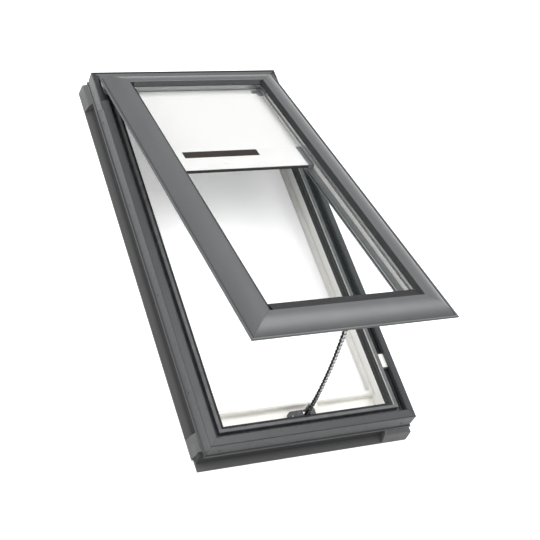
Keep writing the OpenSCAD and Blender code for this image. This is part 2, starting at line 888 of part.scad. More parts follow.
module pane_ring(in_0, in_1, deep_0, deep_1) {
  difference() {
    pane_block(in_0, deep_0, deep_1);
    pane_block(in_1, deep_0 - 1, deep_1 + 1);
  }
}

module outer_pane() {
  color("#c9dde2", 0.35) swing() pane_block(glass_in, glass_sink, glass_sink + pane_t);
}

module inner_pane() {
  color("#c9dde2", 0.35) swing() pane_block(glass_in, glass_deep - pane_t, glass_deep);
}

module pane_spacer() {
  color("#c7c9ca") swing()
    pane_ring(glass_in + 3, glass_in + 10, glass_sink + pane_t, glass_deep - pane_t);
}

module pane_edge_seal() {
  color("#111112") swing()
    pane_ring(glass_in, glass_in + 3, glass_sink + pane_t, glass_deep - pane_t);
}

// Moulded black gasket between the glass and the covers.
module glazing_gasket() {
  base_deep = glass_sink - 2;
  bead_deep = 1.5;
  half_w = sash_w / 2;
  color("#141415") swing() {
    difference() {
      pane_block(glass_in + 1, base_deep, glass_sink);
      translate([0, sash_y, sash_z])
        box([-half_w + nose_w + bead_side, -sash_l / 2 + nose_w + bead_foot, -far],
            [half_w - nose_w - bead_side, sash_l / 2 - nose_w - bead_head, far]);
    }
    for (side = [LEFT, RIGHT])
      on_sash(side) run_x(sash_l - 2 * nose_w) bead_section(bead_side, bead_deep, base_deep);
    on_sash(FOOT) run_x(sash_w - 2 * nose_w - 2 * bead_side)
      bead_section(bead_foot, bead_deep, base_deep);
    on_sash(HEAD) run_x(sash_w - 2 * nose_w - 2 * bead_side)
      bead_section(bead_head, bead_deep, base_deep);
  }
}

module bead_section(reach, top_deep, base_deep) {
  polygon([
    [nose_w, -base_deep - 1], [nose_w, -top_deep], [nose_w + 1, -top_deep],
    [nose_w + reach - 2, -base_deep + 0.5], [nose_w + reach, -base_deep - 0.5],
    [nose_w + reach, -base_deep - 1]
  ]);
}

// ---- chain bracket on the sash -----------------------------------------------

module at_pin() {
  translate([0, sash_y - sash_l / 2 + pin_at, sash_z - pin_deep]) children();
}

module chain_bracket() {
  ear_in = 5.2;
  ear = 2;
  ear_r = 5;
  plate_t = 2.5;
  plate_x = 15;
  ceiling = pin_deep - sash_depth + 16;
  color("#9a9da0") swing() at_pin() difference() {
    union() {
      box([-plate_x, -ear_r - 0.5, ceiling - plate_t], [plate_x, 17, ceiling]);
      for (x = [-ear_in - ear, ear_in]) {
        bar_x_axis(ear_r, x, x + ear);
        box([x, -ear_r, 0], [x + ear, ear_r, ceiling]);
      }
    }
    bar_x_axis(chain_pin_r, -far, far);
  }
}

module chain_pin() {
  reach = 7.2;
  head_r = 3.6;
  head_h = 1.2;
  color("#c2c4c6") swing() at_pin() {
    bar_x_axis(chain_pin_r, -reach, reach);
    bar_x_axis(head_r, -reach - head_h, -reach);
    bar_x_axis(head_r, reach, reach + head_h);
  }
}

// ---- blind ------------------------------------------------------------------

module blind_head_rail() {
  wall = 1.5;
  low = channel_top + channel_h + 2;
  color("#f0f0ee") swing() at_head_face() difference() {
    box([-half_in, -rail_l, -low], [half_in, 0, -channel_top]);
    box([-half_in - 1, -rail_l + wall, -low + wall], [half_in + 1, -wall, -channel_top - wall]);
  }
}

// Aluminium channel, open towards the blind, that guides a carrier.
module channel_section() {
  t = channel_t;
  w = channel_w;
  h = channel_h;
  lip = channel_lip;
  polygon([
    [0, 0], [w, 0], [w, -t - lip], [w - t, -t - lip], [w - t, -t], [t, -t], [t, -h + t],
    [w - t, -h + t], [w - t, -h + t + lip], [w, -h + t + lip], [w, -h], [0, -h]
  ]);
}

module blind_channel(side) {
  channel_l = head_face_y - foot_face_y - rail_l - 8;
  color("#c3c6c9") swing() at_head_face()
    mirror([side == LEFT ? 0 : 1, 0, 0])
      translate([-half_in, -rail_l - 0.5, -channel_top])
        rotate([90, 0, 0]) linear_extrude(channel_l) channel_section();
}

module blind_corner_brackets() {
  leg = 31;
  plate_t = 1.2;
  color("#7f8285") swing() at_head_face() for (side = [0, 1]) mirror([side, 0, 0])
    translate([half_in, 0, -fabric_top + 0.2]) linear_extrude(plate_t)
      polygon([[0, 0], [-leg, 0], [-leg + 5, -7], [-8, -leg + 4], [0, -leg]]);
}

module blind_fabric() {
  color("#fafaf8") swing() at_head_face()
    box([-half_in + 1.5, -fabric_l + 0.3, -fabric_bottom], [half_in - 1.5, -0.5, -fabric_top]);
}

module at_bar() {
  translate([0, bar_y, sash_z - fabric_top]) children();
}

module bar_outline(inset) {
  polygon([
    [-inset, -inset], [-inset, -bar_t + inset], [-bar_slope_at, -bar_t + inset],
    [-bar_w + inset, -bar_foot_t + inset], [-bar_w + inset, -inset]
  ]);
}

// Hollow bar at the blind's lower edge, with places for panel and button.
module blind_bar() {
  pocket_r = button_r + 0.4;
  color("#f7f7f5") swing() at_bar() difference() {
    union() {
      translate([-bar_x, 0, 0]) rotate([90, 0, 90]) linear_extrude(2 * bar_x)
        difference() {
          bar_outline(0);
          bar_outline(bar_wall);
        }
      translate([button_x, -button_at, -button_floor - 1.5])
        cylinder(r = pocket_r + 2, h = button_floor + 0.5);
    }
    box([panel_x - panel_l / 2, -panel_at - panel_w, -panel_t],
        [panel_x + panel_l / 2, -panel_at, 1]);
    translate([button_x, -button_at, -button_floor]) cylinder(r = pocket_r, h = button_floor + 1);
  }
}

module bar_carriers() {
  web_t = 0.7;
  tongue_at = 12;
  flange_deep = channel_top - fabric_top;
  clear_top = flange_deep - slide_clear;
  slot_0 = flange_deep + channel_t + channel_lip + slide_clear;
  slot_1 = flange_deep + channel_h - channel_t - channel_lip - slide_clear;
  color("#8b8e91") swing() at_bar() for (side = [0, 1]) mirror([side, 0, 0]) {
    box([bar_x, -bar_w, -clear_top], [half_in - 1, 0, 0]);
    box([bar_x, -bar_w, -slot_1], [bar_x + web_t, 0, -clear_top + 0.5]);
    box([bar_x, -bar_w + tongue_at, -slot_1], [half_in - channel_t - 1, -tongue_at, -slot_0]);
  }
}

module bar_edge_seal() {
  color("#2b2b2d") swing() at_bar()
    box([-bar_x, -bar_w - 3, -bar_foot_t + 1], [bar_x, -bar_w, -0.8]);
}

module solar_panel() {
  color("#3d322f") swing() at_bar()
    box([panel_x - panel_l / 2, -panel_at - panel_w, -panel_t],
        [panel_x + panel_l / 2, -panel_at, -0.3]);
}

module blind_motor() {
  motor_r = 8.5;
  motor_l = 120;
  motor_x = 20;
  color("#a7a9ab") swing() at_bar()
    translate([motor_x, -bar_wall - motor_r - drive_gap, -bar_t + bar_wall + motor_r])
      bar_x_axis(motor_r, 0, motor_l);
}

module blind_battery() {
  cell_r = 7;
  cell_l = 130;
  cell_x = -160;
  color("#3a5a46") swing() at_bar()
    translate([cell_x, -bar_wall - cell_r - drive_gap, -bar_t + bar_wall + cell_r])
      bar_x_axis(cell_r, 0, cell_l);
}

module blind_button() {
  dimple_r = 1.6;
  dimple_at = 3;
  under = button_travel + 0.6;
  color("#ffffff") swing() at_bar()
    translate([button_x, -button_at, under - button_floor]) difference() {
      cylinder(r = button_r, h = button_floor - under + button_proud);
      translate([0, 0, dimple_at]) cylinder(r = dimple_r, h = button_floor);
    }
}

// ---- nodes ------------------------------------------------------------------

frame_head();
frame_sill();
frame_jamb(LEFT);  // frame_jamb_left
frame_jamb(RIGHT);  // frame_jamb_right
head_cover();
sill_cover();
jamb_cover(LEFT);  // jamb_cover_left
jamb_cover(RIGHT);  // jamb_cover_right
inner_gasket();
groove_gasket();
rib_strip();
head_seal();
deck_seal();
deck_seal_boots();
guide_block();
translate([-hinge_x, 0, 0]) hinge_bracket();  // hinge_bracket_left
translate([hinge_x, 0, 0]) hinge_bracket();  // hinge_bracket_right
hinge_pins();
cover_screws();
operator_housing();
gear_case();
sill_trim();
chain();
screen_frame();
screen_mesh();
screen_clips();
chain_sprocket();
sprocket_shaft();
worm_wheel();
crank_worm();
sash_head();
sash_foot();
swing() sash_side(LEFT);  // sash_stile_left
swing() sash_side(RIGHT);  // sash_stile_right
sash_cover(HEAD);  // sash_cover_head
sash_cover(FOOT);  // sash_cover_foot
sash_cover(LEFT);  // sash_cover_left
sash_cover(RIGHT);  // sash_cover_right
outer_pane();
inner_pane();
pane_spacer();
pane_edge_seal();
glazing_gasket();
swing() translate([-hinge_x, 0, 0]) hinge_leaf();  // hinge_leaf_left
swing() translate([hinge_x, 0, 0]) hinge_leaf();  // hinge_leaf_right
chain_bracket();
chain_pin();
blind_head_rail();
blind_channel(LEFT);  // blind_channel_left
blind_channel(RIGHT);  // blind_channel_right
blind_corner_brackets();
blind_fabric();
blind_bar();
bar_carriers();
bar_edge_seal();
solar_panel();
blind_motor();
blind_battery();
blind_button();
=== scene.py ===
"""Dresses a venting roof skylight: its finishes, chain, pleated blind, net and fasteners.

Run as a script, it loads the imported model, which holds every size and place, makes the
pieces that repeat with Geometry Nodes, and gives each piece a finish made of nodes.
All lengths are in metres and all positions are in the model's own frame: +X across the
roof, +Y up the slope to the hinges, +Z out of the roof.
"""

import json
import math

import bmesh
import bpy
from bpy.props import FloatProperty, FloatVectorProperty, IntProperty, PointerProperty
from bpy.types import Operator, Panel, PropertyGroup
from mathutils import Euler, Matrix, Vector


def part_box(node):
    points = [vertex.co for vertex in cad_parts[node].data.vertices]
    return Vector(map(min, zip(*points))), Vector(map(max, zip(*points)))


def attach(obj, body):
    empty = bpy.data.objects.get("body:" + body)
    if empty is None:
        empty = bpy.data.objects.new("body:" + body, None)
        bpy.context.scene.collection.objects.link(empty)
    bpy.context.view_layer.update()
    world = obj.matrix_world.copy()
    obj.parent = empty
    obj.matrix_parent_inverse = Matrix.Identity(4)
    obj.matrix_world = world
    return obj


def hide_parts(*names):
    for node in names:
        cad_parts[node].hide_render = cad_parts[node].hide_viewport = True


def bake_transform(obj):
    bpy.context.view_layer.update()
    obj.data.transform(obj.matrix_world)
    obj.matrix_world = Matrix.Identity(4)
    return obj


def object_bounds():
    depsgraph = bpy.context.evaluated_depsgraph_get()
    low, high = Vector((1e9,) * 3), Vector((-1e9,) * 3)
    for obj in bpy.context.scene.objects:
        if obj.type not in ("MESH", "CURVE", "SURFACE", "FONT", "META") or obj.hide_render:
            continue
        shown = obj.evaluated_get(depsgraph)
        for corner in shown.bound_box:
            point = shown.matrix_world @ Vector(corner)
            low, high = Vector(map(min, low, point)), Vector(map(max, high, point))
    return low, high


bl_info = {
    "name": "Roof Skylight Dresser",
    "version": (1, 0, 0),
    "blender": (4, 5, 0),
    "location": "View3D > Sidebar > Skylight",
    "description": "Finishes, chain, blind, net, fasteners and stage of a venting roof skylight",
    "category": "Object",
}

MM = 0.001
FLOOR_DROP = 0.5 * MM
SENSOR_WIDTH = 36
OVERHEAD_PLACE = (0.5, 0.5, 4.2)
OVERHEAD_SIZE = 4.5
SIDE_PLACE = (-4.2, -0.4, 1.6)
SIDE_SIZE = 2.6
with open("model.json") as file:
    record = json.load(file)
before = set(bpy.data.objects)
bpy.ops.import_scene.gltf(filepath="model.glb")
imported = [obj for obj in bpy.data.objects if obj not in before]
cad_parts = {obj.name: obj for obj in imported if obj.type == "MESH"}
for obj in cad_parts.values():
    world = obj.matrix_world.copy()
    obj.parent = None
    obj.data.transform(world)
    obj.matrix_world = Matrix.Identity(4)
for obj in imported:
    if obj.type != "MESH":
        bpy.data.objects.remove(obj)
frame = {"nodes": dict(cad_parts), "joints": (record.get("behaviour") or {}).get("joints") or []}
NODES = frame["nodes"]
CAD_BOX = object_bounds()
BLIND = next(j for j in frame["joints"] if j["name"] == "blind_slide")
DOWN_SASH = Vector(BLIND["axis"]).normalized()
OUT_OF_SASH = Vector((1, 0, 0)).cross(DOWN_SASH) * -1
if OUT_OF_SASH.z < 0:
    OUT_OF_SASH.negate()


# ---- colours and node helpers -------------------------------------------------


def linear(code):
    """An sRGB hex value as linear red, green and blue."""
    parts = [int(code[i : i + 2], 16) / 255 for i in (1, 3, 5)]
    return tuple(p / 12.92 if p <= 0.04045 else ((p + 0.055) / 1.055) ** 2.4 for p in parts)


def shade(colour, factor):
    """A colour made lighter or darker, with its alpha."""
    return tuple(min(1.0, c * factor) for c in colour[:3]) + (1.0,)


def add(tree, kind, settings=None, **links):
    """Adds a node. Settings are its attributes; links are its inputs, as values or sockets."""
    node = tree.nodes.new(kind)
    for name, value in (settings or {}).items():
        setattr(node, name, value)
    for name, value in links.items():
        key = int(name[1:]) if name[0] == "i" and name[1:].isdigit() else name.replace("_", " ")
        socket = node.inputs[key]
        if isinstance(value, bpy.types.NodeSocket):
            tree.links.new(value, socket)
        else:
            socket.default_value = value
    return node


def finish_of(name, colour, roughness, **shader):
    """A material with one Principled shader, its tree, the shader and object coordinates."""
    material = bpy.data.materials.new(name)
    material.use_nodes = True
    tree = material.node_tree
    shader_node = tree.nodes["Principled BSDF"]
    shader_node.inputs["Base Color"].default_value = tuple(colour[:3]) + (1.0,)
    shader_node.inputs["Roughness"].default_value = roughness
    for key, value in shader.items():
        shader_node.inputs[key.replace("_", " ")].default_value = value
    place = add(tree, "ShaderNodeTexCoord").outputs["Object"]
    return material, tree, shader_node, place


def stretched(tree, place, across, along, axis="Y"):
    """Object coordinates scaled for a pattern that is longer along one axis, in metres."""
    scale = [1 / across] * 3
    scale["XYZ".index(axis)] = 1 / along
    return add(tree, "ShaderNodeMapping", Vector=place, Scale=scale).outputs["Vector"]


def noise(tree, place, size, detail=3.0, roughness=0.5):
    """A noise pattern whose features are about the given size in metres."""
    return add(
        tree, "ShaderNodeTexNoise", Vector=place, Scale=1 / size, Detail=detail, Roughness=roughness
    ).outputs["Fac"]


def tint(tree, shader_node, pattern, colour, low, high):
    """Varies the base colour between two shades of it by a pattern."""
    ramp = add(tree, "ShaderNodeValToRGB", Fac=pattern)
    ramp.color_ramp.elements[0].position = 0.3
    ramp.color_ramp.elements[1].position = 0.7
    ramp.color_ramp.elements[0].color = shade(colour, low)
    ramp.color_ramp.elements[1].color = shade(colour, high)
    tree.links.new(ramp.outputs["Color"], shader_node.inputs["Base Color"])


def vary_roughness(tree, shader_node, pattern, low, high):
    span = add(
        tree, "ShaderNodeMapRange",
        Value=pattern, From_Min=0.3, From_Max=0.7, To_Min=low, To_Max=high,
    )
    tree.links.new(span.outputs["Result"], shader_node.inputs["Roughness"])


def emboss(tree, shader_node, pattern, height, strength=1.0):
    """Bump of a real height in metres from a pattern of 0 to 1."""
    bump = add(tree, "ShaderNodeBump", Height=pattern, Distance=height, Strength=strength)
    tree.links.new(bump.outputs["Normal"], shader_node.inputs["Normal"])


# ---- finishes -------------------------------------------------------------------


def lacquered_aluminium(name, colour):
    """Roll-formed aluminium, stove-lacquered: satin, with the faint orange peel of the lacquer."""
    material, tree, paint, place = finish_of(
        name, colour, 0.42, Coat_Weight=0.12, Coat_Roughness=0.3
    )
    cloud = noise(tree, stretched(tree, place, 0.05, 0.4), 1.0)
    tint(tree, paint, cloud, colour, 0.96, 1.04)
    vary_roughness(tree, paint, noise(tree, place, 0.012), 0.38, 0.46)
    emboss(tree, paint, noise(tree, place, 0.0022, 2.0), 0.00002)
    return material


def painted_pine(name, colour):
    """Laminated pine in white water-borne paint: the grain is just felt under the film."""
    material, tree, paint, place = finish_of(name, colour, 0.42)
    grain = noise(tree, stretched(tree, place, 0.0025, 0.09), 1.0, 4.0, 0.6)
    tint(tree, paint, noise(tree, place, 0.12), colour, 0.975, 1.015)
    vary_roughness(tree, paint, grain, 0.36, 0.5)
    emboss(tree, paint, grain, 0.00006)
    return material


def extruded_rubber(name, colour, roughness=0.62):
    """Extruded EPDM gasket: matte, with fine drag lines along its run."""
    material, tree, rubber, place = finish_of(name, colour, roughness)
    drag = noise(tree, stretched(tree, place, 0.0012, 0.08), 1.0, 2.0)
    tint(tree, rubber, noise(tree, place, 0.03), colour, 0.8, 1.25)
    vary_roughness(tree, rubber, drag, roughness - 0.08, roughness + 0.1)
    emboss(tree, rubber, drag, 0.00005)
    return material


def foam_rubber(name, colour):
    """Cellular rubber deck seal: a dull, slightly pitted skin, with painted light on its flange at
    the toe and painted shade above it, under the cover.
    """
    material, tree, foam, place = finish_of(name, colour, 0.85)
    height = add(tree, "ShaderNodeSeparateXYZ", Vector=place).outputs["Z"]
    # Painted light and shade: the colour is up to 3.4 times lighter over the lowest 16 mm, the
    # flange at the toe, and stays dark above it, where the cover shades the seal.
    painted_toe_light = add(
        tree, "ShaderNodeMapRange",
        Value=height, From_Min=0.0, From_Max=0.016, To_Min=1.0, To_Max=0.0,
    ).outputs["Result"]
    base = add(
        tree,
        "ShaderNodeMix",
        {"data_type": "RGBA"},
        Factor=painted_toe_light,
        i6=shade(colour, 1.0),
        i7=shade(colour, 3.4),
    )
    tree.links.new(base.outputs[2], foam.inputs["Base Color"])
    emboss(tree, foam, noise(tree, place, 0.0015, 4.0), 0.00012)
    return material


def clear_moulding(name, colour):
    """Milky polyethylene moulding: lets some light through and scatters the rest."""
    material, tree, plastic, place = finish_of(
        name, colour, 0.4,
        Transmission_Weight=0.25, IOR=1.5, Subsurface_Weight=0.2, Subsurface_Scale=0.01,
    )
    tint(tree, plastic, noise(tree, place, 0.02), colour, 0.92, 1.06)
    emboss(tree, plastic, noise(tree, place, 0.004, 2.0), 0.0001)
    return material


def moulded_plastic(name, colour, roughness=0.4):
    """Injection-moulded plastic with a fine spark-eroded grain."""
    material, tree, plastic, place = finish_of(name, colour, roughness)
    grain = noise(tree, place, 0.0008, 2.0)
    tint(tree, plastic, noise(tree, place, 0.04), colour, 0.97, 1.03)
    vary_roughness(tree, plastic, grain, roughness - 0.05, roughness + 0.07)
    emboss(tree, plastic, grain, 0.00002)
    return material


def zinc_plated(name, colour):
    """Pressed steel with bright zinc plating: a soft grey metal with a cloudy spangle."""
    material, tree, zinc, place = finish_of(name, colour, 0.38, Metallic=0.9)
    cells = add(tree, "ShaderNodeTexVoronoi", Vector=place, Scale=1 / 0.006).outputs["Color"]
    spangle = add(tree, "ShaderNodeSeparateColor", Color=cells).outputs["Red"]
    tint(tree, zinc, spangle, colour, 0.88, 1.08)
    vary_roughness(tree, zinc, spangle, 0.3, 0.46)
    return material


def turned_steel(name, colour, roughness=0.3):
    """Turned and ground steel: fine scratches round the part."""
    material, tree, steel, place = finish_of(name, colour, roughness, Metallic=1.0)
    scratch = noise(tree, stretched(tree, place, 0.02, 0.0006, "X"), 1.0, 2.0)
    tint(tree, steel, scratch, colour, 0.88, 1.06)
    vary_roughness(tree, steel, scratch, roughness - 0.06, roughness + 0.12)
    return material


def cast_zinc_black(name, colour):
    """Die-cast zinc, powder coated black: a fine pebbled satin skin."""
    material, tree, coat, place = finish_of(name, colour, 0.5)
    pebble = noise(tree, place, 0.0007, 2.0)
    tint(tree, coat, noise(tree, place, 0.02), colour, 0.85, 1.2)
    vary_roughness(tree, coat, pebble, 0.42, 0.58)
    emboss(tree, coat, pebble, 0.00005)
    return material


def mill_aluminium(name, colour):
    """Anodised extrusion: bright matt metal with die lines along its length."""
    material, tree, metal, place = finish_of(name, colour, 0.34, Metallic=0.85)
    lines = noise(tree, stretched(tree, place, 0.0008, 0.6), 1.0, 2.0)
    tint(tree, metal, lines, colour, 0.9, 1.06)
    vary_roughness(tree, metal, lines, 0.28, 0.42)
    return material


def float_glass(name, colour):
    """Clear tempered float glass: nearly invisible face on, with a clean reflection."""
    material, tree, glass, place = finish_of(name, colour, 0.02, Alpha=0.03, IOR=1.52)
    ripple = noise(tree, place, 0.15, 1.0)
    emboss(tree, glass, ripple, 0.00002, 0.15)
    material.surface_render_method = "BLENDED"
    return material


def solar_cells(name, colour):
    """Thin-film solar cells behind glass: brown-black strips with fine pale lines."""
    material, tree, cells, place = finish_of(
        name, colour, 0.3, Coat_Weight=0.15, Coat_Roughness=0.03
    )
    pitch = 7 * MM
    across = add(tree, "ShaderNodeSeparateXYZ", Vector=place).outputs["X"]
    phase = add(tree, "ShaderNodeMath", {"operation": "PINGPONG"}, i0=across, i1=pitch).outputs[0]
    line = add(
        tree, "ShaderNodeMapRange",
        Value=phase, From_Min=0.0, From_Max=0.0004, To_Min=1.0, To_Max=0.0,
    ).outputs["Result"]
    base = add(
        tree,
        "ShaderNodeMix",
        {"data_type": "RGBA"},
        Factor=line,
        i6=shade(colour, 1.0),
        i7=shade(colour, 2.6),
    )
    tree.links.new(base.outputs[2], cells.inputs["Base Color"])
    return material


def pleated_cloth(name, colour):
    """Spun polyester, pleated by heat: soft, with a fine slub across the width."""
    material, tree, cloth, place = finish_of(
        name, colour, 0.8, Sheen_Weight=0.25, Sheen_Roughness=0.5
    )
    slub = noise(tree, stretched(tree, place, 0.0009, 0.03, "X"), 1.0, 3.0)
    tint(tree, cloth, slub, colour, 0.96, 1.03)
    emboss(tree, cloth, slub, 0.00008)
    return material


def net_yarn(name, colour):
    """PVC-coated glass yarn, pale grey: a plain smooth strand."""
    material, tree, yarn, place = finish_of(name, colour, 0.5)
    tint(tree, yarn, noise(tree, place, 0.02), colour, 0.94, 1.04)
    return material


def brass(name, colour):
    """Machined brass with a dull bloom of grease."""
    material, tree, metal, place = finish_of(name, colour, 0.32, Metallic=1.0)
    bloom = noise(tree, place, 0.004)
    tint(tree, metal, bloom, colour, 0.8, 1.05)
    vary_roughness(tree, metal, bloom, 0.25, 0.5)
    return material


def shrink_wrap(name, colour):
    """Heat-shrunk PVC sleeve round battery cells: glossy, with the cells' faint bands."""
    material, tree, film, place = finish_of(name, colour, 0.25)
    across = add(tree, "ShaderNodeSeparateXYZ", Vector=place).outputs["X"]
    wave = add(tree, "ShaderNodeMath", {"operation": "PINGPONG"}, i0=across, i1=22 * MM).outputs[0]
    edge = add(
        tree, "ShaderNodeMapRange", Value=wave, From_Min=0.0, From_Max=0.001, To_Min=0.0, To_Max=1.0
    ).outputs["Result"]
    emboss(tree, film, edge, 0.0003)
    return material


def dress(material, *names):
    """Gives CAD nodes a finish."""
    for name in names:
        node = NODES[name]
        if not node.material_slots:
            node.data.materials.append(material)
        for slot in node.material_slots:
            slot.material = material


# ---- settings ----------------------------------------------------------------


def colour_property(label, about, code):
    return FloatVectorProperty(
        name=label,
        description=about,
        subtype="COLOR",
        size=3,
        min=0.0,
        max=1.0,
        default=linear(code),
    )


def length_property(label, about, millimetres, low, high):
    return FloatProperty(
        name=label,
        description=about,
        default=millimetres * MM,
        min=low * MM,
        max=high * MM,
        unit="LENGTH",
        precision=5,
    )


class SkylightColours(PropertyGroup):
    """Colours of the skylight's finishes."""

    sash_cover: colour_property("Sash Covers", "Lacquer on the sash's bull-nosed covers", "#545657")
    # Painted shade: the frame covers' lacquer is darker than the sash covers' to stand in for the
    # shade that the raised sash casts on the frame.
    frame_cover_with_painted_shade: colour_property("Frame Covers", "Lacquer on the frame's covers", "#3e4042")
    head_cover: colour_property("Head Cover", "Lacquer on the cover over the hinges", "#4c4e4f")
    timber: colour_property("Timber", "Paint on the frame and the sash", "#f3f2ef")
    gasket: colour_property("Gaskets", "Black rubber of the gaskets", "#1c1c1d")
    groove: colour_property("Groove Gasket", "Rubber in the frame's groove", "#505054")
    rib_strip: colour_property("Rib Strip", "Grey rubber over the frame's rib", "#636567")
    # Painted shade: this dark colour is the seal under the cover; its flange at the toe is painted
    # 3.4 times lighter.
    deck_seal: colour_property("Deck Seal", "Foam rubber of the deck seal", "#363636")
    boots: colour_property("Corner Boots", "Milky plastic of the corner boots", "#6e706f")
    white_parts: colour_property("White Parts", "Plastic of trim, clips and guides", "#efeee9")
    rail: colour_property("Blind Rails", "Paint on the blind's rails", "#e9e9e8")
    cloth: colour_property("Blind Cloth", "The blind's pleated cloth", "#e7e7e6")
    grey_parts: colour_property("Grey Parts", "Grey plastic of the blind's carriers", "#85888b")
    solar: colour_property("Solar Panel", "Cells of the solar panel", "#271813")
    housing: colour_property("Chain Housing", "Coating of the chain operator", "#47484b")
    chain_plates: colour_property("Chain Plates", "Blackened side plates of the chain", "#26272a")
    chain_rollers: colour_property("Chain Rollers", "Rollers and bridges of the chain", "#c4c6c8")
    net: colour_property("Net", "Yarn of the insect screen", "#e4e5e6")


class ChainSizes(PropertyGroup):
    """Sizes of the chain's links."""

    pitch: length_property("Pitch", "Distance between two of the chain's pins", 12, 8, 16)
    curve_radius: length_property("Curve", "Radius that the raised chain bends to", 1400, 900, 3000)
    wrap_radius: length_property("Wrap Radius", "Pitch radius of the sprocket", 12, 8, 18)
    roller_radius: length_property("Roller Radius", "Radius of a roller", 3.0, 1, 5)
    roller_half: length_property("Half Roller", "Half the length of a roller", 2.55, 1, 5)
    plate_height: length_property("Plate Height", "Height of a side plate at a pin", 8.4, 3, 10)
    plate_thickness: length_property("Plate Thickness", "Thickness of a side plate", 0.8, 0.4, 2)
    pin_radius: length_property("Pin Radius", "Radius of a pin's riveted head", 1.5, 0.5, 3)
    wrapped: IntProperty(
        name="Wrapped Links",
        description="Links that lie round the sprocket under the straight run",
        default=2,
        min=0,
        max=3,
    )


class PleatSizes(PropertyGroup):
    """Sizes of the blind's pleats."""

    pitch: length_property("Pitch", "Distance between two creases on one face", 16, 8, 30)
    steps: IntProperty(
        name="Steps",
        description="Strips of faces between two creases",
        default=4,
        min=2,
        max=12,
    )
    thickness: length_property("Thickness", "Thickness of the cloth", 0.35, 0.1, 1)


class NetSizes(PropertyGroup):
    """Sizes of the insect screen's net, coarser than a real one so that it shows."""

    spacing: length_property("Spacing", "Distance between two strands", 3.2, 1, 10)
    strand: length_property("Strand", "Diameter of a strand", 0.22, 0.1, 1)


class ScrewSizes(PropertyGroup):
    """Sizes of the cover screws' heads."""

    radius: length_property("Radius", "Radius of a screw's head", 3, 2, 6)
    height: length_property("Height", "Height of a screw's head", 1.5, 0.5, 3)
    recess: length_property("Recess", "Half width of the cross recess", 0.35, 0.2, 1)


class StageSettings(PropertyGroup):
    """Floor, lights and camera."""

    floor: colour_property("Floor", "Colour of the floor", "#f8f8f8")
    floor_size: FloatProperty(
        name="Floor Size", description="Side of the floor", default=30.0, min=5.0, unit="LENGTH"
    )
    overhead: FloatProperty(
        name="Overhead", description="Power of the softbox overhead", default=300.0, unit="POWER"
    )
    side: FloatProperty(
        name="Side", description="Power of the softbox at the left", default=65.0, unit="POWER"
    )
    glow: FloatProperty(
        name="Glow", description="Light of the floor that only the camera sees", default=0.45
    )
    sky: FloatProperty(name="Sky", description="Strength of the studio's own light", default=0.36)
    lens: FloatProperty(
        name="Lens", description="Focal length in millimetres on a 36 mm sensor", default=85.48
    )
    camera_place: FloatVectorProperty(
        name="Camera",
        description="Place of the camera",
        default=(-1.4465, -1.7922, 2.7257),
        unit="LENGTH",
    )
    camera_turn: FloatVectorProperty(
        name="Camera Turn",
        description="Turn of the camera about X, Y and Z",
        default=tuple(math.radians(a) for a in (36.672, -18.245, -18.644)),
        subtype="EULER",
    )


# ---- mesh and node tree makers --------------------------------------------------


def object_from(name, mesh):
    obj = bpy.data.objects.new(name, mesh)
    bpy.context.scene.collection.objects.link(obj)
    return obj


def mesh_from_bmesh(name, shape):
    bmesh.ops.remove_doubles(shape, verts=shape.verts, dist=1e-7)
    bmesh.ops.recalc_face_normals(shape, faces=shape.faces)
    mesh = bpy.data.meshes.new(name)
    shape.to_mesh(mesh)
    shape.free()
    return mesh


def add_cylinder_x(shape, radius, x0, x1, centre, sides=16):
    """A closed cylinder along X about a centre given as (y, z)."""
    turn = Matrix.Translation(((x0 + x1) / 2, *centre)) @ Matrix.Rotation(math.pi / 2, 4, "Y")
    bmesh.ops.create_cone(
        shape,
        cap_ends=True,
        segments=sides,
        radius1=radius,
        radius2=radius,
        depth=x1 - x0,
        matrix=turn,
    )


def add_block(shape, low, high):
    size = Vector(high) - Vector(low)
    middle = (Vector(high) + Vector(low)) / 2
    place = Matrix.Translation(middle) @ Matrix.Diagonal((*size, 1.0))
    bmesh.ops.create_cube(shape, size=1.0, matrix=place)


def add_plate(shape, outline, x0, x1):
    """A flat plate across X, from an outline of (y, z) points."""
    ends = [[shape.verts.new((x, y, z)) for y, z in outline] for x in (x0, x1)]
    shape.faces.new(ends[0][::-1])
    shape.faces.new(ends[1])
    count = len(outline)
    for i in range(count):
        j = (i + 1) % count
        shape.faces.new((ends[0][i], ends[0][j], ends[1][j], ends[1][i]))


def link_outline(pitch, height, sides=8):
    """A side plate's outline round two pins a pitch apart, waisted between them."""
    radius = height / 2
    waist = radius * 0.52
    points = []
    for i in range(sides + 1):
        angle = math.pi * (i / sides - 0.5) * 0.94
        points.append((radius * math.sin(angle), pitch + radius * math.cos(angle)))
    points.append((waist, pitch / 2))
    for i in range(sides + 1):
        angle = math.pi * (i / sides - 0.5) * 0.94
        points.append((-radius * math.sin(angle), -radius * math.cos(angle)))
    points.append((-waist, pitch / 2))
    return points


def new_tree(name, inputs):
    """A Geometry Nodes tree with named inputs, its group nodes and its end nodes."""
    tree = bpy.data.node_groups.new(name, "GeometryNodeTree")
    tree.interface.new_socket("Geometry", in_out="INPUT", socket_type="NodeSocketGeometry")
    for label, kind in inputs:
        tree.interface.new_socket(label, in_out="INPUT", socket_type=kind)
    tree.interface.new_socket("Geometry", in_out="OUTPUT", socket_type="NodeSocketGeometry")
    return tree, tree.nodes.new("NodeGroupInput"), tree.nodes.new("NodeGroupOutput")


def close_tree(tree, geometry, material, exit_node):
    """Realizes the instances and sets the finish, as the tree's last two steps."""
    real = add(tree, "GeometryNodeRealizeInstances", Geometry=geometry)
    done = add(tree, "GeometryNodeSetMaterial", Geometry=real.outputs[0], Material=material)
    tree.links.new(done.outputs[0], exit_node.inputs[0])


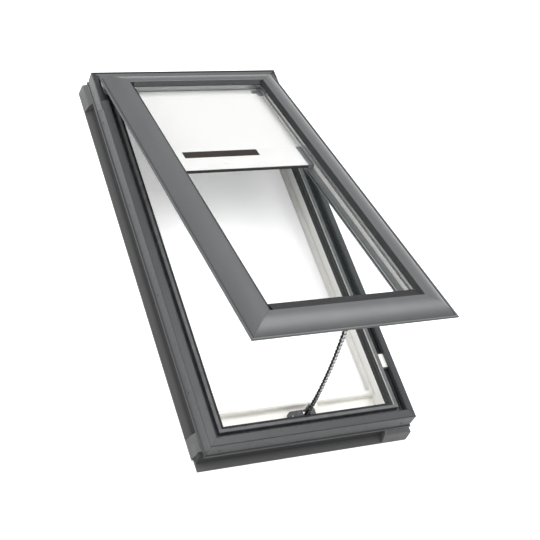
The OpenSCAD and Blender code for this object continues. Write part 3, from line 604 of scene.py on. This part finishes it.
def run_tree(obj, tree, values):
    """Runs a tree on an object with inputs by name, and keeps its result as a plain mesh."""
    modifier = obj.modifiers.new(tree.name, "NODES")
    modifier.node_group = tree
    for item in tree.interface.items_tree:
        if item.in_out == "INPUT" and item.name in values:
            modifier[item.identifier] = values[item.name]
    graph = bpy.context.evaluated_depsgraph_get()
    graph.update()
    mesh = bpy.data.meshes.new_from_object(
        obj.evaluated_get(graph), preserve_all_data_layers=True, depsgraph=graph
    )
    obj.modifiers.clear()
    obj.data = mesh
    mesh.name = obj.name
    return obj


def smooth_under(obj, degrees):
    """Smooths shading across edges that turn less than an angle."""
    for face in obj.data.polygons:
        face.use_smooth = True
    shape = bmesh.new()
    shape.from_mesh(obj.data)
    for edge in shape.edges:
        edge.smooth = edge.calc_face_angle(0.0) < math.radians(degrees)
    shape.to_mesh(obj.data)
    shape.free()


# ---- chain ------------------------------------------------------------------------


def chain_pins(sizes):
    """Places of the chain's pins, from the wrapped end along its curve to the sash."""
    low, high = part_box("chain_pin")
    end = (low + high) / 2
    low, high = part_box("chain_sprocket")
    hub = (low + high) / 2
    reach = end - hub
    gap = sizes.curve_radius - sizes.wrap_radius
    length = math.hypot(reach.y, reach.z)
    share = (length**2 + gap**2 - sizes.curve_radius**2) / (2 * gap * length)
    first = math.acos(share) - math.atan2(reach.z, reach.y)
    centre = hub + gap * Vector((0, math.cos(first), -math.sin(first)))
    last = math.atan2(end.z - centre.z, centre.y - end.y)
    count = round(sizes.curve_radius * (last - first) / sizes.pitch)
    tooth = math.radians(60)

    def at(middle, radius, lean):
        return Vector(
            (end.x, middle.y - radius * math.cos(lean), middle.z + radius * math.sin(lean))
        )

    pins = [at(hub, sizes.wrap_radius, first - i * tooth) for i in range(sizes.wrapped, 0, -1)]
    turn = (last - first) / count
    pins += [at(centre, sizes.curve_radius, first + i * turn) for i in range(count + 1)]
    return pins, pins[sizes.wrapped], end, sizes.curve_radius * turn


def plates_mesh(name, sizes, pitch, inside):
    """Two side plates and their riveted pin heads, standing up Z from one pin to the next."""
    shape = bmesh.new()
    outline = link_outline(pitch, sizes.plate_height)
    first = sizes.roller_half + 0.1 * MM + (0 if inside else sizes.plate_thickness + 0.1 * MM)
    last = first + sizes.plate_thickness
    for side in (-1, 1):
        add_plate(shape, outline, *sorted((side * first, side * last)))
        if not inside:
            for z in (0.0, pitch):
                ends = sorted((side * last, side * (last + 0.35 * MM)))
                add_cylinder_x(shape, sizes.pin_radius, *ends, (0, z), 10)
    return mesh_from_bmesh(name, shape)


def rollers_mesh(name, sizes, pitch):
    """A roller, and the bridge that stiffens the chain's outer face above it."""
    shape = bmesh.new()
    half = sizes.roller_half
    add_cylinder_x(shape, sizes.roller_radius, -half, half, (0, 0), 14)
    front = -sizes.plate_height / 2
    add_block(shape, (-half, front, 0.22 * pitch), (half, front + 1.0 * MM, 0.78 * pitch))
    return mesh_from_bmesh(name, shape)


def link_tree(name, material):
    """Stands a link on every pin and turns it towards the next pin."""
    tree, start, exit_node = new_tree(
        name, [("Link", "NodeSocketObject"), ("Every", "NodeSocketInt"), ("First", "NodeSocketInt")]
    )
    index = add(tree, "GeometryNodeInputIndex").outputs[0]
    place = add(tree, "GeometryNodeInputPosition").outputs[0]
    after = add(tree, "ShaderNodeMath", {"operation": "ADD"}, i0=index, i1=1.0).outputs[0]
    ahead = add(
        tree,
        "GeometryNodeFieldAtIndex",
        {"data_type": "FLOAT_VECTOR", "domain": "POINT"},
        Index=after,
        Value=place,
    ).outputs[0]
    towards = add(tree, "ShaderNodeVectorMath", {"operation": "SUBTRACT"}, i0=ahead, i1=place)
    turn = add(
        tree,
        "FunctionNodeAlignRotationToVector",
        {"axis": "Z", "pivot_axis": "X"},
        Vector=towards.outputs[0],
    ).outputs[0]
    shifted = add(
        tree, "ShaderNodeMath", {"operation": "SUBTRACT"}, i0=index, i1=start.outputs["First"]
    ).outputs[0]
    rest = add(
        tree, "ShaderNodeMath", {"operation": "MODULO"}, i0=shifted, i1=start.outputs["Every"]
    ).outputs[0]
    chosen = add(
        tree, "FunctionNodeCompare", {"data_type": "FLOAT", "operation": "EQUAL"}, i0=rest, i1=0.0
    ).outputs[0]
    ahead_length = add(
        tree, "ShaderNodeVectorMath", {"operation": "LENGTH"}, i0=towards.outputs[0]
    ).outputs["Value"]
    not_last = add(
        tree,
        "FunctionNodeCompare",
        {"data_type": "FLOAT", "operation": "GREATER_THAN"},
        i0=ahead_length,
        i1=0.001,
    ).outputs[0]
    both = add(tree, "FunctionNodeBooleanMath", {"operation": "AND"}, i0=chosen, i1=not_last)
    link = add(tree, "GeometryNodeObjectInfo", Object=start.outputs["Link"])
    placed = add(
        tree,
        "GeometryNodeInstanceOnPoints",
        Points=start.outputs[0],
        Selection=both.outputs[0],
        Instance=link.outputs["Geometry"],
        Rotation=turn,
    )
    close_tree(tree, placed.outputs[0], material, exit_node)
    return tree


def points_object(name, points):
    mesh = bpy.data.meshes.new(name)
    mesh.from_pydata([tuple(p) for p in points], [], [])
    return object_from(name, mesh)


class SKYLIGHT_OT_chain(Operator):
    """Makes the chain's links, from the sprocket up to the sash."""

    bl_idname = "skylight.chain"
    bl_label = "Make Chain"

    def execute(self, context):
        sizes = context.scene.skylight_chain
        colours = context.scene.skylight_colours
        pins, start, end, pitch = chain_pins(sizes)
        dark = turned_steel("blackened_chain_plates", colours.chain_plates, 0.4)
        bright = turned_steel("polished_chain_rollers", colours.chain_rollers, 0.28)
        kinds = [
            ("chain_outer_plates", plates_mesh("outer_plates", sizes, pitch, False), dark, 2, 0),
            ("chain_inner_plates", plates_mesh("inner_plates", sizes, pitch, True), dark, 2, 1),
            ("chain_rollers", rollers_mesh("rollers", sizes, pitch), bright, 1, 0),
        ]
        for name, mesh, material, every, first in kinds:
            pattern = object_from(name + "_pattern", mesh)
            links = points_object(name, pins)
            tree = link_tree(name + "_tree", material)
            run_tree(links, tree, {"Link": pattern, "Every": every, "First": first})
            bpy.data.objects.remove(pattern)
            smooth_under(links, 40)
            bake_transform(links)
            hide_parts("chain")
        return {"FINISHED"}


# ---- pleated blind -----------------------------------------------------------------


def pleat_tree(name, material):
    """Folds a flat grid into pleats along its Y, between Z = 0 and the depth."""
    tree, start, exit_node = new_tree(
        name,
        [
            ("Width", "NodeSocketFloat"),
            ("Length", "NodeSocketFloat"),
            ("Depth", "NodeSocketFloat"),
            ("Rows", "NodeSocketInt"),
            ("Pitch", "NodeSocketFloat"),
        ],
    )
    values = start.outputs
    grid = add(
        tree,
        "GeometryNodeMeshGrid",
        i0=values["Width"],
        i1=values["Length"],
        i2=13,
        i3=values["Rows"],
    )
    place = add(tree, "GeometryNodeInputPosition").outputs[0]
    y = add(tree, "ShaderNodeSeparateXYZ", Vector=place).outputs["Y"]
    half = add(tree, "ShaderNodeMath", {"operation": "MULTIPLY"}, i0=values["Pitch"], i1=0.5)
    fold = add(tree, "ShaderNodeMath", {"operation": "PINGPONG"}, i0=y, i1=half.outputs[0])
    share = add(
        tree, "ShaderNodeMath", {"operation": "DIVIDE"}, i0=fold.outputs[0], i1=half.outputs[0]
    )
    rise = add(
        tree, "ShaderNodeMath", {"operation": "MULTIPLY"}, i0=share.outputs[0], i1=values["Depth"]
    )
    lift = add(tree, "ShaderNodeCombineXYZ", Z=rise.outputs[0])
    folded = add(tree, "GeometryNodeSetPosition", Geometry=grid.outputs[0], Offset=lift.outputs[0])
    close_tree(tree, folded.outputs[0], material, exit_node)
    return tree


def sash_frame():
    """The turn from flat axes to the sash's: X across, Y up the sash, Z out of it."""
    return Matrix((Vector((1, 0, 0)), -DOWN_SASH, OUT_OF_SASH)).transposed()


def extent_along(node, direction):
    """Lowest and highest reach of a CAD node along a direction."""
    reach = [direction.dot(v.co) for v in NODES[node].data.vertices]
    return min(reach), max(reach)


class SKYLIGHT_OT_blind_cloth(Operator):
    """Makes the blind's pleated cloth, from the head rail to the bar."""

    bl_idname = "skylight.blind_cloth"
    bl_label = "Make Blind Cloth"

    def execute(self, context):
        sizes = context.scene.skylight_pleats
        x0, x1 = extent_along("blind_fabric", Vector((1, 0, 0)))
        s0, s1 = extent_along("blind_fabric", DOWN_SASH)
        n0, n1 = extent_along("blind_fabric", OUT_OF_SASH)
        pleats = round((s1 - s0) / sizes.pitch)
        pitch = (s1 - s0) / pleats
        rows = 2 * pleats * sizes.steps + 1
        cloth = pleated_cloth("spun_polyester_cloth", context.scene.skylight_colours.cloth)
        sheet = object_from("pleated_cloth", bpy.data.meshes.new("pleated_cloth"))
        depth = n1 - n0 - sizes.thickness
        run_tree(
            sheet,
            pleat_tree("pleats", cloth),
            {
                "Width": x1 - x0,
                "Length": s1 - s0,
                "Depth": depth,
                "Rows": rows,
                "Pitch": pitch,
            },
        )
        turn = sash_frame()
        middle = turn @ Vector(((x0 + x1) / 2, -(s0 + s1) / 2, n0 + sizes.thickness / 2))
        sheet.data.transform(Matrix.Translation(middle) @ turn.to_4x4())
        wall = sheet.modifiers.new("cloth_thickness", "SOLIDIFY")
        wall.thickness = sizes.thickness
        wall.offset = 0
        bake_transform(sheet)
        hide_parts("blind_fabric")
        return {"FINISHED"}


# ---- insect screen -----------------------------------------------------------------


def strand_tree(name, material):
    """Repeats a straight strand along one axis."""
    tree, start, exit_node = new_tree(
        name,
        [
            ("Count", "NodeSocketInt"),
            ("Step", "NodeSocketVector"),
            ("Size", "NodeSocketVector"),
        ],
    )
    values = start.outputs
    line = add(tree, "GeometryNodeMeshLine", Count=values["Count"], Offset=values["Step"])
    strand = add(tree, "GeometryNodeMeshCube", Size=values["Size"])
    placed = add(
        tree,
        "GeometryNodeInstanceOnPoints",
        Points=line.outputs[0],
        Instance=strand.outputs[0],
    )
    close_tree(tree, placed.outputs[0], material, exit_node)
    return tree


class SKYLIGHT_OT_net(Operator):
    """Makes the insect screen's net of crossed strands."""

    bl_idname = "skylight.net"
    bl_label = "Make Net"

    def execute(self, context):
        sizes = context.scene.skylight_net
        low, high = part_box("screen_mesh")
        size = high - low
        yarn = net_yarn("coated_glass_yarn", context.scene.skylight_colours.net)
        level = (low.z + high.z) / 2
        for name, axis in (("net_strands_across", 1), ("net_strands_along", 0)):
            count = int(size[axis] / sizes.spacing) - 1
            step = Vector((0, 0, 0))
            step[axis] = size[axis] / (count + 1)
            shape = Vector((sizes.strand, sizes.strand, sizes.strand))
            shape[1 - axis] = size[1 - axis]
            strands = object_from(name, bpy.data.meshes.new(name))
            values = {"Count": count, "Step": step, "Size": shape}
            run_tree(strands, strand_tree(name + "_tree", yarn), values)
            corner = Vector(((low.x + high.x) / 2, (low.y + high.y) / 2, level))
            corner[axis] = low[axis] + step[axis]
            corner.z += (0.5 if axis else -0.5) * sizes.strand
            strands.data.transform(Matrix.Translation(corner))
            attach(strands, "frame")
            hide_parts("screen_mesh")
        return {"FINISHED"}


# ---- cover screws ------------------------------------------------------------------


def screw_places():
    """Centre and outward direction of each CAD screw head."""
    shape = bmesh.new()
    shape.from_mesh(NODES["cover_screws"].data)
    bmesh.ops.remove_doubles(shape, verts=shape.verts, dist=1e-6)
    seen, places = set(), []
    for vert in shape.verts:
        if vert.index in seen:
            continue
        group, queue = [], [vert]
        seen.add(vert.index)
        while queue:
            this = queue.pop()
            group.append(this.co.copy())
            for edge in this.link_edges:
                other = edge.other_vert(this)
                if other.index not in seen:
                    seen.add(other.index)
                    queue.append(other)
        low = Vector(min(c[i] for c in group) for i in range(3))
        high = Vector(max(c[i] for c in group) for i in range(3))
        centre = (low + high) / 2
        size = high - low
        thin = min(range(3), key=lambda i: size[i])
        outward = Vector((0, 0, 0))
        outward[thin] = math.copysign(1, centre[thin])
        places.append((centre - outward * size[thin] / 2, outward))
    shape.free()
    return places


def screw_mesh(sizes):
    """A pan head with rounded shoulders, standing up Z."""
    shape = bmesh.new()
    profile = [(1.0, 0.0), (1.0, 0.35), (0.92, 0.7), (0.75, 0.92), (0.45, 1.0)]
    rings = []
    sides = 20
    for share, up in profile:
        ring = []
        for i in range(sides):
            angle = 2 * math.pi * i / sides
            reach = sizes.radius * share
            ring.append(
                shape.verts.new(
                    (reach * math.cos(angle), reach * math.sin(angle), up * sizes.height)
                )
            )
        rings.append(ring)
    for lower, upper in zip(rings, rings[1:]):
        for i in range(sides):
            j = (i + 1) % sides
            shape.faces.new((lower[i], lower[j], upper[j], upper[i]))
    shape.faces.new(rings[0][::-1])
    shape.faces.new(rings[-1])
    return mesh_from_bmesh("screw_head", shape)


def screw_tree(name, material):
    """Stands a screw head on each point, along the point's outward direction."""
    tree, start, exit_node = new_tree(name, [("Head", "NodeSocketObject")])
    outward = add(
        tree, "GeometryNodeInputNamedAttribute", {"data_type": "FLOAT_VECTOR"}, Name="outward"
    ).outputs[0]
    turn = add(tree, "FunctionNodeAlignRotationToVector", {"axis": "Z"}, Vector=outward).outputs[0]
    head = add(tree, "GeometryNodeObjectInfo", Object=start.outputs["Head"])
    placed = add(
        tree,
        "GeometryNodeInstanceOnPoints",
        Points=start.outputs[0],
        Instance=head.outputs["Geometry"],
        Rotation=turn,
    )
    close_tree(tree, placed.outputs[0], material, exit_node)
    return tree


class SKYLIGHT_OT_screws(Operator):
    """Makes the heads of the screws that hold the frame covers."""

    bl_idname = "skylight.screws"
    bl_label = "Make Screws"

    def execute(self, context):
        sizes = context.scene.skylight_screws
        places = screw_places()
        screws = points_object("screw_heads", [p for p, _ in places])
        outward = screws.data.attributes.new("outward", "FLOAT_VECTOR", "POINT")
        for item, (_, direction) in zip(outward.data, places):
            item.vector = direction
        head = object_from("screw_head_pattern", screw_mesh(sizes))
        steel = turned_steel("painted_screw_steel", linear("#5a5c5e"), 0.4)
        run_tree(screws, screw_tree("screws", steel), {"Head": head})
        bpy.data.objects.remove(head)
        smooth_under(screws, 35)
        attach(screws, "frame")
        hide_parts("cover_screws")
        return {"FINISHED"}


# ---- finishes of the CAD pieces ----------------------------------------------------


class SKYLIGHT_OT_timber(Operator):
    """Paints the timber of the frame and the sash."""

    bl_idname = "skylight.timber"
    bl_label = "Paint Timber"

    def execute(self, context):
        paint = painted_pine("white_painted_pine", context.scene.skylight_colours.timber)
        dress(paint, "frame_head", "frame_sill", "frame_jamb_left", "frame_jamb_right")
        dress(paint, "sash_head", "sash_foot", "sash_stile_left", "sash_stile_right")
        return {"FINISHED"}


class SKYLIGHT_OT_covers(Operator):
    """Lacquers the aluminium covers."""

    bl_idname = "skylight.covers"
    bl_label = "Lacquer Covers"

    def execute(self, context):
        colours = context.scene.skylight_colours
        sash = lacquered_aluminium("sash_cover_lacquer", colours.sash_cover)
        # Painted shade: the frame covers get a darker copy of the sash covers' lacquer, for the
        # shade of the raised sash.
        wall = lacquered_aluminium("frame_cover_lacquer", colours.frame_cover_with_painted_shade)
        head = lacquered_aluminium("head_cover_lacquer", colours.head_cover)
        dress(sash, "sash_cover_head", "sash_cover_foot", "sash_cover_left", "sash_cover_right")
        dress(wall, "sill_cover", "jamb_cover_left", "jamb_cover_right")
        dress(head, "head_cover")
        return {"FINISHED"}


class SKYLIGHT_OT_seals(Operator):
    """Finishes the gaskets, the deck seal and its corner boots."""

    bl_idname = "skylight.seals"
    bl_label = "Finish Seals"

    def execute(self, context):
        colours = context.scene.skylight_colours
        black = extruded_rubber("black_epdm", colours.gasket)
        dress(
            black, "inner_gasket", "head_seal", "glazing_gasket", "pane_edge_seal", "bar_edge_seal"
        )
        dress(extruded_rubber("groove_epdm", colours.groove), "groove_gasket")
        dress(extruded_rubber("grey_epdm", colours.rib_strip), "rib_strip")
        dress(foam_rubber("deck_foam_rubber", colours.deck_seal), "deck_seal")
        dress(clear_moulding("milky_polyethylene", colours.boots), "deck_seal_boots")
        return {"FINISHED"}


class SKYLIGHT_OT_glass(Operator):
    """Glazes the sash."""

    bl_idname = "skylight.glass"
    bl_label = "Glaze Sash"

    def execute(self, context):
        dress(float_glass("clear_float_glass", linear("#3a4644")), "outer_pane", "inner_pane")
        dress(mill_aluminium("spacer_aluminium", linear("#c8cacb")), "pane_spacer")
        return {"FINISHED"}


class SKYLIGHT_OT_operator_parts(Operator):
    """Finishes the hinges and the chain operator."""

    bl_idname = "skylight.operator_parts"
    bl_label = "Finish Hinges and Operator"

    def execute(self, context):
        colours = context.scene.skylight_colours
        zinc = zinc_plated("bright_zinc_plate", linear("#b9bcbe"))
        steel = turned_steel("ground_steel", linear("#c3c5c7"))
        dress(zinc, "hinge_bracket_left", "hinge_bracket_right", "hinge_leaf_left")
        dress(zinc, "hinge_leaf_right", "chain_bracket")
        dress(steel, "hinge_pins", "chain_pin", "sprocket_shaft", "chain_sprocket", "crank_worm")
        dress(cast_zinc_black("black_die_casting", colours.housing), "operator_housing")
        dress(brass("greased_brass", linear("#c9a864")), "worm_wheel")
        return {"FINISHED"}


class SKYLIGHT_OT_white_parts(Operator):
    """Finishes the trim, the clips, the guide blocks and the screen's frame."""

    bl_idname = "skylight.white_parts"
    bl_label = "Finish White Parts"

    def execute(self, context):
        colours = context.scene.skylight_colours
        plastic = moulded_plastic("white_abs", colours.white_parts)
        dress(plastic, "guide_block", "sill_trim", "screen_clips", "gear_case", "blind_button")
        dress(moulded_plastic("screen_frame_paint", colours.white_parts, 0.35), "screen_frame")
        return {"FINISHED"}


class SKYLIGHT_OT_blind_parts(Operator):
    """Finishes the blind's rails, channels, bar, panel and drive."""

    bl_idname = "skylight.blind_parts"
    bl_label = "Finish Blind"

    def execute(self, context):
        colours = context.scene.skylight_colours
        dress(moulded_plastic("rail_enamel", colours.rail, 0.3), "blind_head_rail", "blind_bar")
        dress(mill_aluminium("anodised_channel", linear("#9c9ea0")), "blind_channel_left")
        dress(NODES["blind_channel_left"].material_slots[0].material, "blind_channel_right")
        grey = moulded_plastic("grey_nylon", colours.grey_parts, 0.45)
        dress(grey, "blind_corner_brackets", "bar_carriers")
        dress(solar_cells("thin_film_cells", colours.solar), "solar_panel")
        dress(turned_steel("motor_tube", linear("#aeb1b3")), "blind_motor")
        dress(shrink_wrap("battery_sleeve", linear("#2f5a41")), "blind_battery")
        return {"FINISHED"}


# ---- stage ---------------------------------------------------------------------------


def add_softbox(name, place, aim, size, power):
    """A square area light at a place, turned towards a point."""
    light = bpy.data.lights.new(name, "AREA")
    light.energy = power
    light.size = size
    lamp = bpy.data.objects.new(name, light)
    lamp.location = place
    lamp.rotation_euler = (Vector(aim) - Vector(place)).to_track_quat("-Z", "Y").to_euler()
    bpy.context.scene.collection.objects.link(lamp)
    return lamp


class SKYLIGHT_OT_stage(Operator):
    """Lays the floor and sets the lights and the camera."""

    bl_idname = "skylight.stage"
    bl_label = "Set Stage"

    def execute(self, context):
        scene = context.scene
        settings = scene.skylight_stage
        shape = bmesh.new()
        bmesh.ops.create_grid(shape, x_segments=1, y_segments=1, size=settings.floor_size / 2)
        floor = object_from("floor", mesh_from_bmesh("floor", shape))
        floor.data.transform(Matrix.Translation((0, 0, CAD_BOX[0].z - FLOOR_DROP)))
        material, tree, paint, _ = finish_of("pale_floor", settings.floor, 0.9)
        seen = add(tree, "ShaderNodeLightPath").outputs["Is Camera Ray"]
        glow = add(tree, "ShaderNodeMath", {"operation": "MULTIPLY"}, i0=seen, i1=settings.glow)
        paint.inputs["Emission Color"].default_value = (1, 1, 1, 1)
        tree.links.new(glow.outputs[0], paint.inputs["Emission Strength"])
        floor.data.materials.append(material)
        world = bpy.data.worlds.new("studio")
        world.use_nodes = True
        sky = world.node_tree.nodes["Background"]
        sky.inputs["Color"].default_value = (1, 1, 1, 1)
        sky.inputs["Strength"].default_value = settings.sky
        scene.world = world
        middle = (CAD_BOX[0] + CAD_BOX[1]) / 2
        add_softbox("overhead_softbox", OVERHEAD_PLACE, middle, OVERHEAD_SIZE, settings.overhead)
        add_softbox("left_softbox", SIDE_PLACE, middle, SIDE_SIZE, settings.side)
        lens = bpy.data.cameras.new("camera")
        lens.lens = settings.lens
        lens.sensor_width = SENSOR_WIDTH
        camera = bpy.data.objects.new("camera", lens)
        camera.location = settings.camera_place
        camera.rotation_euler = Euler(settings.camera_turn)
        scene.collection.objects.link(camera)
        scene.camera = camera
        scene.view_settings.view_transform = "Standard"
        return {"FINISHED"}


# ---- panel and registration ---------------------------------------------------------

GROUPS = {
    "skylight_colours": SkylightColours,
    "skylight_chain": ChainSizes,
    "skylight_pleats": PleatSizes,
    "skylight_net": NetSizes,
    "skylight_screws": ScrewSizes,
    "skylight_stage": StageSettings,
}
OPERATORS = (
    SKYLIGHT_OT_stage,
    SKYLIGHT_OT_timber,
    SKYLIGHT_OT_covers,
    SKYLIGHT_OT_seals,
    SKYLIGHT_OT_glass,
    SKYLIGHT_OT_operator_parts,
    SKYLIGHT_OT_white_parts,
    SKYLIGHT_OT_blind_parts,
    SKYLIGHT_OT_chain,
    SKYLIGHT_OT_blind_cloth,
    SKYLIGHT_OT_net,
    SKYLIGHT_OT_screws,
)


class SKYLIGHT_PT_dresser(Panel):
    """Lists the skylight's operators and settings."""

    bl_idname = "SKYLIGHT_PT_dresser"
    bl_label = "Roof Skylight"
    bl_space_type = "VIEW_3D"
    bl_region_type = "UI"
    bl_category = "Skylight"

    def draw(self, context):
        for operator in OPERATORS:
            self.layout.operator(operator.bl_idname)
        for name, group in GROUPS.items():
            box = self.layout.box()
            for key in group.__annotations__:
                box.prop(getattr(context.scene, name), key)


CLASSES = (*GROUPS.values(), *OPERATORS, SKYLIGHT_PT_dresser)


def register():
    for cls in CLASSES:
        bpy.utils.register_class(cls)
    for name, group in GROUPS.items():
        setattr(bpy.types.Scene, name, PointerProperty(type=group))


def unregister():
    for name in GROUPS:
        delattr(bpy.types.Scene, name)
    for cls in reversed(CLASSES):
        bpy.utils.unregister_class(cls)


def main():
    register()
    for operator in OPERATORS:
        group, name = operator.bl_idname.split(".")
        getattr(getattr(bpy.ops, group), name)()


if __name__ == "__main__":
    main()
